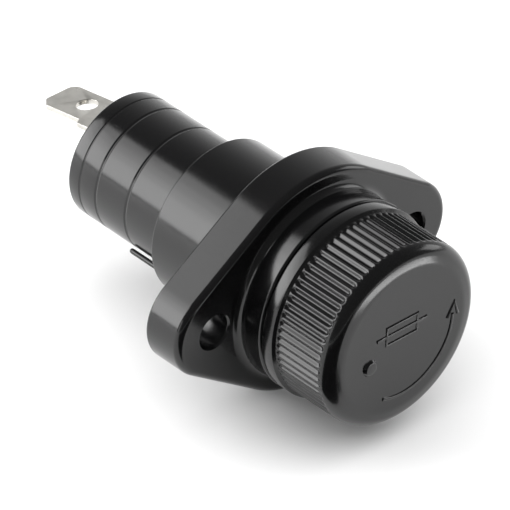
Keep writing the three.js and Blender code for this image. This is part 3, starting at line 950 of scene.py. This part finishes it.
# %% The fuse
FUSE_CAP_R, CUP_WALL = 5.15, 0.45
tube = spun("fuse_tube_glazed", [
    (3.2, -18.8, 0.15), (4.5, -18.8, 0.15), (4.5, 17.7, 0.15), (3.2, 17.7, 0.15),
], 96)
dressed(tube, CERAMIC, "fuse_carrier", "fuse_tube")
for node, open_y, end_y in (("fuse_cap_front", -10.1, -19.6), ("fuse_cap_rear", 9.0, 18.5)):
    d = 1 if end_y > open_y else -1
    cup = spun(node + "_cup", [
        (0, end_y), (FUSE_CAP_R, end_y, 0.45), (FUSE_CAP_R, open_y + 2.5 * d, 0.1),
        (4.98, open_y + 2.15 * d, 0.12), (FUSE_CAP_R, open_y + 1.8 * d, 0.1),
        (FUSE_CAP_R, open_y, 0.1), (4.82, open_y, 0.08),
        (4.82, end_y - CUP_WALL * d, 0.1), (0, end_y - CUP_WALL * d),
    ], 128)
    dressed(cup, NICKEL, "fuse_carrier", node)
for node, material in (("fuse_element", SILVER), ("solder_front", SOLDER), ("solder_rear", SOLDER)):
    inner = frame["nodes"][node]
    inner.data.materials.clear()
    inner.data.materials.append(material)

# %% [markdown]
# ## The sprung contact
# A turned brass cup presses on the fuse, pushed by a coil spring. The spring is a round wire along a helix
# whose last turn at each end is wound closer. Geometry Nodes suit it: a straight line is wound up by a
# formula, then given its thickness.

# %% Contact
contact = spun("contact_cup", [
    (0, 18.9), (3.0, 18.9, 0.35), (3.25, 19.5, 0.2), (7.2, 19.8, 0.5), (7.2, 23.1, 0.15),
    (6.7, 23.1, 0.15), (6.7, 20.8, 0.3), (2.4, 20.8, 0.3), (2.2, 24.3, 0.3), (0, 24.3),
], 128)
dressed(contact, BRASS, "contact", "rear_contact")


# %% Coil spring
WIRE_STEPS = 288


def wound(name, material, sizes):
    """A coil spring with closed ends, from a straight line."""
    graph, size = start_tree("coil", sizes, takes_mesh=False)
    line = graph.add("GeometryNodeMeshLine", sockets={"Count": WIRE_STEPS + 1})
    path = graph.add("GeometryNodeMeshToCurve", sockets={"Mesh": line})
    turn = graph.add("GeometryNodeInputIndex") / WIRE_STEPS * size["Turns"]
    free_turns = size["Turns"] - 2
    free_rise = size["Length"] - 2 * size["Wire radius"] - 2 * size["End rise"]
    y = turn.math("MINIMUM", 1.0) * size["End rise"]
    y = y + (turn - 1).math("MAXIMUM", 0.0).math("MINIMUM", free_turns) * free_rise / free_turns
    y = y + (turn - size["Turns"] + 1).math("MAXIMUM", 0.0) * size["End rise"]
    y = y + size["Front"] + size["Wire radius"]
    angle = turn * (2 * math.pi)
    place = graph.add("ShaderNodeCombineXYZ", sockets={
        "X": angle.math("COSINE") * size["Coil radius"], "Y": y,
        "Z": angle.math("SINE") * size["Coil radius"],
    })
    coil = graph.add("GeometryNodeSetPosition", sockets={"Geometry": path, "Position": place})
    wire = graph.add("GeometryNodeCurvePrimitiveCircle", sockets={
        "Resolution": 14, "Radius": size["Wire radius"],
    })
    solid = graph.add("GeometryNodeCurveToMesh", sockets={
        "Curve": coil, "Profile Curve": wire, "Fill Caps": True,
    })
    piece = bpy.data.objects.new(name, bpy.data.meshes.new(name))
    bpy.context.scene.collection.objects.link(piece)
    return run_tree(graph, solid, piece, material, sizes)


spring = wound("coil_spring", STEEL, {
    "Turns": 6.0, "Coil radius": 4.6 * MM, "Wire radius": 0.5 * MM,
    "Front": 21.1 * MM, "Length": 9.8 * MM, "End rise": 1.1 * MM,
})
dressed(spring, STEEL, "contact", "contact_spring")
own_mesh(spring)

# %% [markdown]
# ## The studio
# The object lies on a pale floor. Black gloss shows almost nothing but its surroundings, so the lights are
# chosen for their reflections. A large softbox behind and to the left draws the bright bands along the
# barrels. It is built of four frames, one in front of the other, each smaller and lower than the last, so
# that its reflection has soft edges. A panel on the left and a softbox on the right light the ribs and the
# cap's edge. A wide fill overhead whitens the floor and leaves no reflection.

# %% Floor
FLOOR_GAP = 0.0001
bm = bmesh.new()
bmesh.ops.create_grid(bm, x_segments=1, y_segments=1, size=3.0)
bm.transform(Matrix.Translation((0, 0, cad_box[0][2] - FLOOR_GAP)))
floor = made("floor", bm)
FLOOR, graph, shader, point = finish("pale_floor", {"Roughness": 0.6, "Specular IOR Level": 0.2})
colour = blend(graph, noise(graph, point, 6, 3.0), (0.80, 0.80, 0.80), (0.83, 0.83, 0.83))
graph.plug(colour, shader.inputs["Base Color"])
floor.data.materials.append(FLOOR)
floor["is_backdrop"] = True
print("the floor lies at", round(cad_box[0][2] / MM, 2), "mm, just under the flange")


# %% Lights
def lamp(name, place, aim, width, height, radiance):
    """A rectangular light that faces a point; radiance is what its reflection would show."""
    light = bpy.data.lights.new(name, "AREA")
    light.shape, light.size, light.size_y = "RECTANGLE", width, height
    light.energy = radiance * math.pi * width * height
    stand = bpy.data.objects.new(name, light)
    stand.location = place
    stand.rotation_euler = (Vector(place) - Vector(aim)).to_track_quat("Z", "Y").to_euler()
    stand.visible_camera = False
    bpy.context.scene.collection.objects.link(stand)
    print(name, "gives", round(light.energy, 4), "W")
    return stand


def softbox(name, azimuth, elevation, distance, width, height, radiance):
    """A lamp that faces the object; azimuth 0 is in front of the cap, 90 to its right."""
    a, e = math.radians(azimuth), math.radians(elevation)
    towards = Vector((math.sin(a) * math.cos(e), -math.cos(a) * math.cos(e), math.sin(e)))
    return lamp(name, towards * distance, (0, 0, 0), width, height, radiance)


LEFT_FRAMES = ((27, 0.64, 3.0), (22, 0.52, 1.0), (18, 0.42, 1.0), (14, 0.32, 1.0))
for step, (elevation, height, radiance) in enumerate(LEFT_FRAMES):
    name, distance = "softbox_left_" + str(step), 0.70 - 0.01 * step
    softbox(name, -138, elevation, distance, 0.56, height, radiance)
softbox("panel_left", -92, 12, 0.9, 0.30, 0.40, 2.0)
softbox("softbox_right", 74, 15, 0.9, 0.40, 0.30, 2.4)
fill = softbox("overhead_fill", 60, 84, 1.6, 3.4, 3.4, 2.1)
fill.visible_glossy = False

# %% [markdown]
# Two small helpers are seen only in the gloss. A bright card in front of the cap, as in any studio for shiny
# goods, draws a crescent on its rim. A black sheet on the floor at the front left shows in nothing but
# reflections: it is a painted reflection of shade on the rim's other side, so that the rim stands out from the
# face. A dim room, brighter low down at the rear right, does the rest.

# %% Card and painted shade sheet
CARD_PLACE, RIM_POINT = (0.022, -0.065, -0.006), (-0.0034, -0.025, 0.0118)
card = lamp("low_card", CARD_PLACE, RIM_POINT, 0.036, 0.008, 6.0)
card.visible_diffuse = False

# Painted shade: this black sheet shows only in reflections and stands in for floor in shadow; the camera,
# diffuse light and shadows ignore it.
PAINTED_SHADE_OUTLINE = ((-24, -20), (-300, -110), (-300, -450), (40, -450), (-4, -40))
bm = bmesh.new()
bm.faces.new([bm.verts.new((x * MM, y * MM, cad_box[0][2])) for x, y in PAINTED_SHADE_OUTLINE])
reflected_shade = made("painted_shade_sheet", bm)
PAINTED_SHADE_BLACK, graph, shader, point = finish("painted_shade_black", {"Roughness": 0.9, "Specular IOR Level": 0.1})
colour = blend(graph, noise(graph, point, 900, 3.0), (0.010, 0.010, 0.010), (0.018, 0.018, 0.018))
graph.plug(colour, shader.inputs["Base Color"])
reflected_shade.data.materials.append(PAINTED_SHADE_BLACK)
reflected_shade.visible_camera = reflected_shade.visible_diffuse = reflected_shade.visible_shadow = False
reflected_shade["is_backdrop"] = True

# %% The room
ROOM = 0.15
world = bpy.data.worlds.new("room")
bpy.context.scene.world = world
world.use_nodes = True
graph = Graph(world.node_tree)
x, y, z = graph.split(graph.add("ShaderNodeTexCoord"))
rear_right = (x * 0.8 + y * 0.6).math("MAXIMUM", 0.0)
low = 1 - z.math("ABSOLUTE")
background = world.node_tree.nodes["Background"]
graph.plug(ROOM + rear_right * rear_right * low, background.inputs["Strength"])
background.inputs["Color"].default_value = (1, 1, 1, 1)
print("the room gives", ROOM, "all round")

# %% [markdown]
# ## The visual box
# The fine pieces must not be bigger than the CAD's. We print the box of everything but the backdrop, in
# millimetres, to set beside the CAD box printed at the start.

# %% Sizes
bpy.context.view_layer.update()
print("visual box in mm:", in_mm(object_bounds()))
